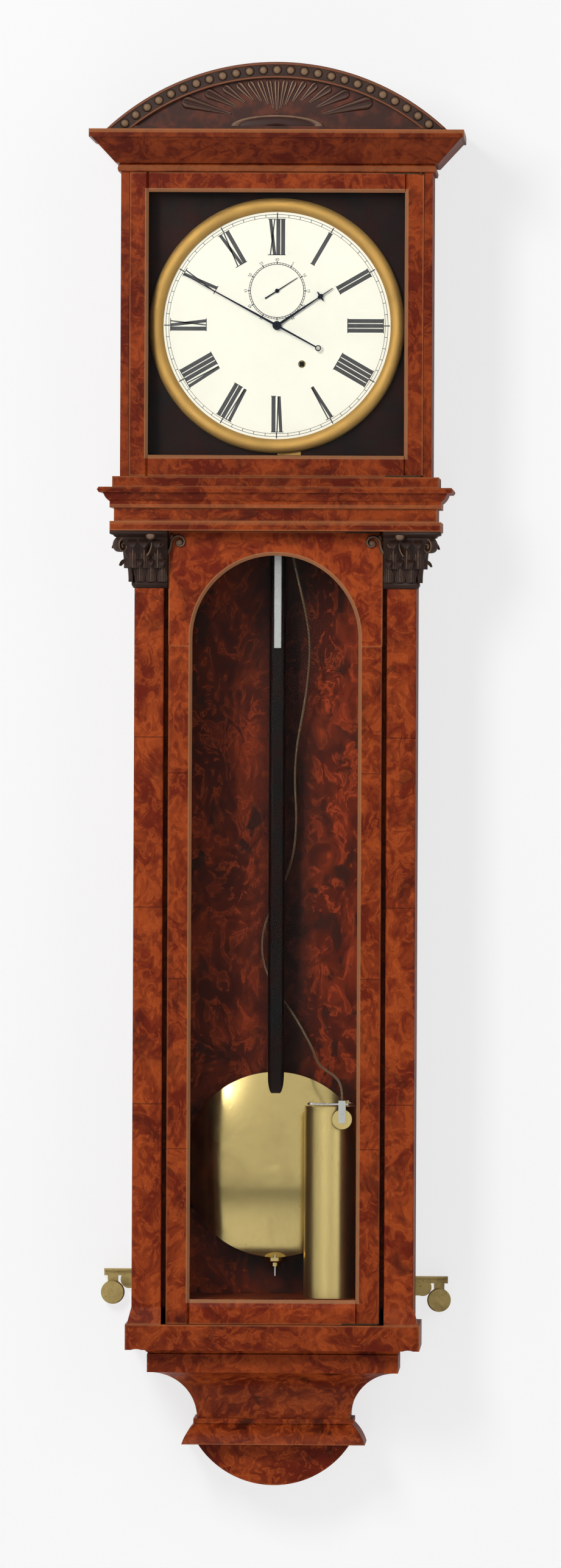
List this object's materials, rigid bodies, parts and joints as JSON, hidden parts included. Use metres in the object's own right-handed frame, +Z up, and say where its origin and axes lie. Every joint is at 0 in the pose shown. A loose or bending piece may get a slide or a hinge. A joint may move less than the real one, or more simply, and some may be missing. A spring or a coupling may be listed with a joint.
{
  "type": "wall regulator clock",
  "caption": "Weight-driven wall regulator clock with glazed trunk and hood doors, enamel dial, swinging pendulum and fan pediment.",
  "frame": {"origin": "centre of the hanging hole in the brass plate, in the wall plane", "axes": "+X to the viewer's right, +Y from the front of the clock into the wall, +Z up"},
  "size_m": [0.4174, 0.201, 1.5935],
  "materials": {
    "veneer": "french polished figured veneer",
    "carcase": "stained and polished",
    "carving": "dark stained carving with bronzed highs",
    "inner_wood": "plain planed softwood",
    "glass": "clear old sheet",
    "enamel": "white vitreous enamel",
    "brass": "lacquered",
    "steel": "bright filed",
    "blued": "blued steel",
    "gut": "twisted gut line"
  },
  "bodies": {
    "case": {"backboard": "veneer", "hanger_plate": "brass", "trunk_side_left": "veneer", "trunk_side_right": "veneer", "hood_side_left": "veneer", "hood_side_right": "veneer", "pilaster_left": "veneer", "pilaster_right": "veneer", "architrave": "veneer", "frieze": "veneer", "waist_ledge": "veneer", "hood_plinth": "veneer", "cornice": "veneer", "pediment": "veneer", "fan_carving": "carving", "capital_left": "carving", "capital_right": "carving", "trunk_floor": "carcase", "base_block": "veneer", "cavetto_bracket": "veneer", "flare_moulding": "veneer", "terminal_drop": "veneer", "dial_mask": "carcase", "dial": "enamel", "dial_bezel": "brass", "seat_board": "inner_wood", "back_plate": "brass", "front_plate": "brass", "weight_line": "gut", "stay_brackets": "brass"},
    "hood_door": {"hood_door_frame": "veneer", "hood_door_glass": "glass", "hood_door_pivots": "brass"},
    "trunk_door": {"trunk_door_stiles": "veneer", "trunk_door_rails": "veneer", "trunk_door_glass": "glass", "trunk_door_pivots": "brass", "trunk_door_volutes": "carving"},
    "pendulum": {"suspension_spring": "steel", "pendulum_rod": "carcase", "pendulum_steelwork": "steel", "bob": "brass"},
    "rating_nut": {"rating_nut": "brass"},
    "crutch": {"pallets": "steel"},
    "centre": {"centre_wheel": "brass", "minute_hand": "blued"},
    "third": {"third_wheel": "brass"},
    "escape": {"escape_wheel": "brass", "seconds_hand": "blued"},
    "great": {"great_wheel": "brass"},
    "minute": {"minute_wheel": "brass"},
    "hour": {"hour_wheel": "brass", "hour_hand": "blued"},
    "barrel": {"barrel": "brass"},
    "weight": {"weight": "brass"},
    "bail": {"weight_bail": "steel"},
    "stirrup": {"pulley_stirrup": "steel"},
    "pulley": {"pulley_wheel": "brass"},
    "stay_screw_left": {"stay_screw_left": "brass"},
    "stay_screw_right": {"stay_screw_right": "brass"}
  },
  "joints": [
    {"name": "hood_door_hinge", "type": "hinge", "parent": "case", "child": "hood_door", "pos_m": [0.1605, -0.1672, -0.159], "axis": [0, 0, 1], "range_deg": [0, 105]},
    {"name": "trunk_door_hinge", "type": "hinge", "parent": "case", "child": "trunk_door", "pos_m": [0.116, -0.1525, -0.833], "axis": [0, 0, 1], "range_deg": [0, 105]},
    {"name": "pendulum_swing", "type": "hinge", "parent": "case", "child": "pendulum", "pos_m": [0, -0.045, -0.0966], "axis": [0, 1, 0], "range_deg": [-1.5, 1.5], "deforming": ["suspension_spring"]},
    {"name": "rating_nut_turn", "type": "hinge", "parent": "pendulum", "child": "rating_nut", "pos_m": [0, -0.045, -1.2104], "axis": [0, 0, 1], "continuous": true},
    {"name": "crutch_swing", "type": "hinge", "parent": "case", "child": "crutch", "pos_m": [0, -0.095, -0.0966], "axis": [0, 1, 0], "range_deg": [-1.6, 1.6]},
    {"name": "centre_arbor", "type": "hinge", "parent": "case", "child": "centre", "pos_m": [0, -0.098, -0.1595], "axis": [0, 1, 0], "continuous": true},
    {"name": "third_arbor", "type": "hinge", "parent": "case", "child": "third", "pos_m": [-0.02008, -0.098, -0.13721], "axis": [0, 1, 0], "continuous": true},
    {"name": "escape_arbor", "type": "hinge", "parent": "case", "child": "escape", "pos_m": [0, -0.098, -0.1207], "axis": [0, 1, 0], "continuous": true},
    {"name": "great_wheel_turn", "type": "hinge", "parent": "case", "child": "great", "pos_m": [0.028, -0.081, -0.2025], "axis": [0, 1, 0], "continuous": true},
    {"name": "minute_wheel_turn", "type": "hinge", "parent": "case", "child": "minute", "pos_m": [-0.01273, -0.124, -0.17223], "axis": [0, 1, 0], "continuous": true},
    {"name": "hour_wheel_turn", "type": "hinge", "parent": "case", "child": "hour", "pos_m": [0, -0.13, -0.1595], "axis": [0, 1, 0], "continuous": true},
    {"name": "weight_lift", "type": "slide", "parent": "case", "child": "weight", "axis": [0, 0, 1], "range_m": [0, 0.54], "deforming": ["weight_line"]},
    {"name": "barrel_winding", "type": "hinge", "parent": "case", "child": "barrel", "pos_m": [0.028, -0.1, -0.2025], "axis": [0, 1, 0], "range_deg": [0, 2630]},
    {"name": "bail_lift", "type": "hinge", "parent": "weight", "child": "bail", "pos_m": [0.0626, -0.0975, -1.0299], "axis": [-1, 0, 0], "range_deg": [0, 90], "deforming": ["weight_line"]},
    {"name": "stirrup_swing", "type": "hinge", "parent": "bail", "child": "stirrup", "pos_m": [0.0766, -0.1325, -1.0299], "axis": [-1, 0, 0], "range_deg": [-60, 0]},
    {"name": "pulley_turn", "type": "hinge", "parent": "stirrup", "child": "pulley", "pos_m": [0.0766, -0.1325, -1.0469], "axis": [0, 1, 0], "continuous": true},
    {"name": "stay_screw_left_turn", "type": "hinge", "parent": "case", "child": "stay_screw_left", "pos_m": [-0.1841, -0.008, -1.2476], "axis": [0, 1, 0], "continuous": true},
    {"name": "stay_screw_right_turn", "type": "hinge", "parent": "case", "child": "stay_screw_right", "pos_m": [0.1841, -0.008, -1.2546], "axis": [0, 1, 0], "continuous": true}
  ],
  "couplings": [
    {"joint": "crutch_swing", "follows": "pendulum_swing", "ratio": 1},
    {"joint": "third_arbor", "follows": "centre_arbor", "ratio": -8},
    {"joint": "escape_arbor", "follows": "centre_arbor", "ratio": 60},
    {"joint": "great_wheel_turn", "follows": "centre_arbor", "ratio": -0.083333},
    {"joint": "minute_wheel_turn", "follows": "centre_arbor", "ratio": -0.33333},
    {"joint": "hour_wheel_turn", "follows": "centre_arbor", "ratio": 0.083333},
    {"joint": "barrel_winding", "follows": "weight_lift", "rad_per_m": 84.746},
    {"joint": "stirrup_swing", "follows": "bail_lift", "ratio": -0.65}
  ]
}
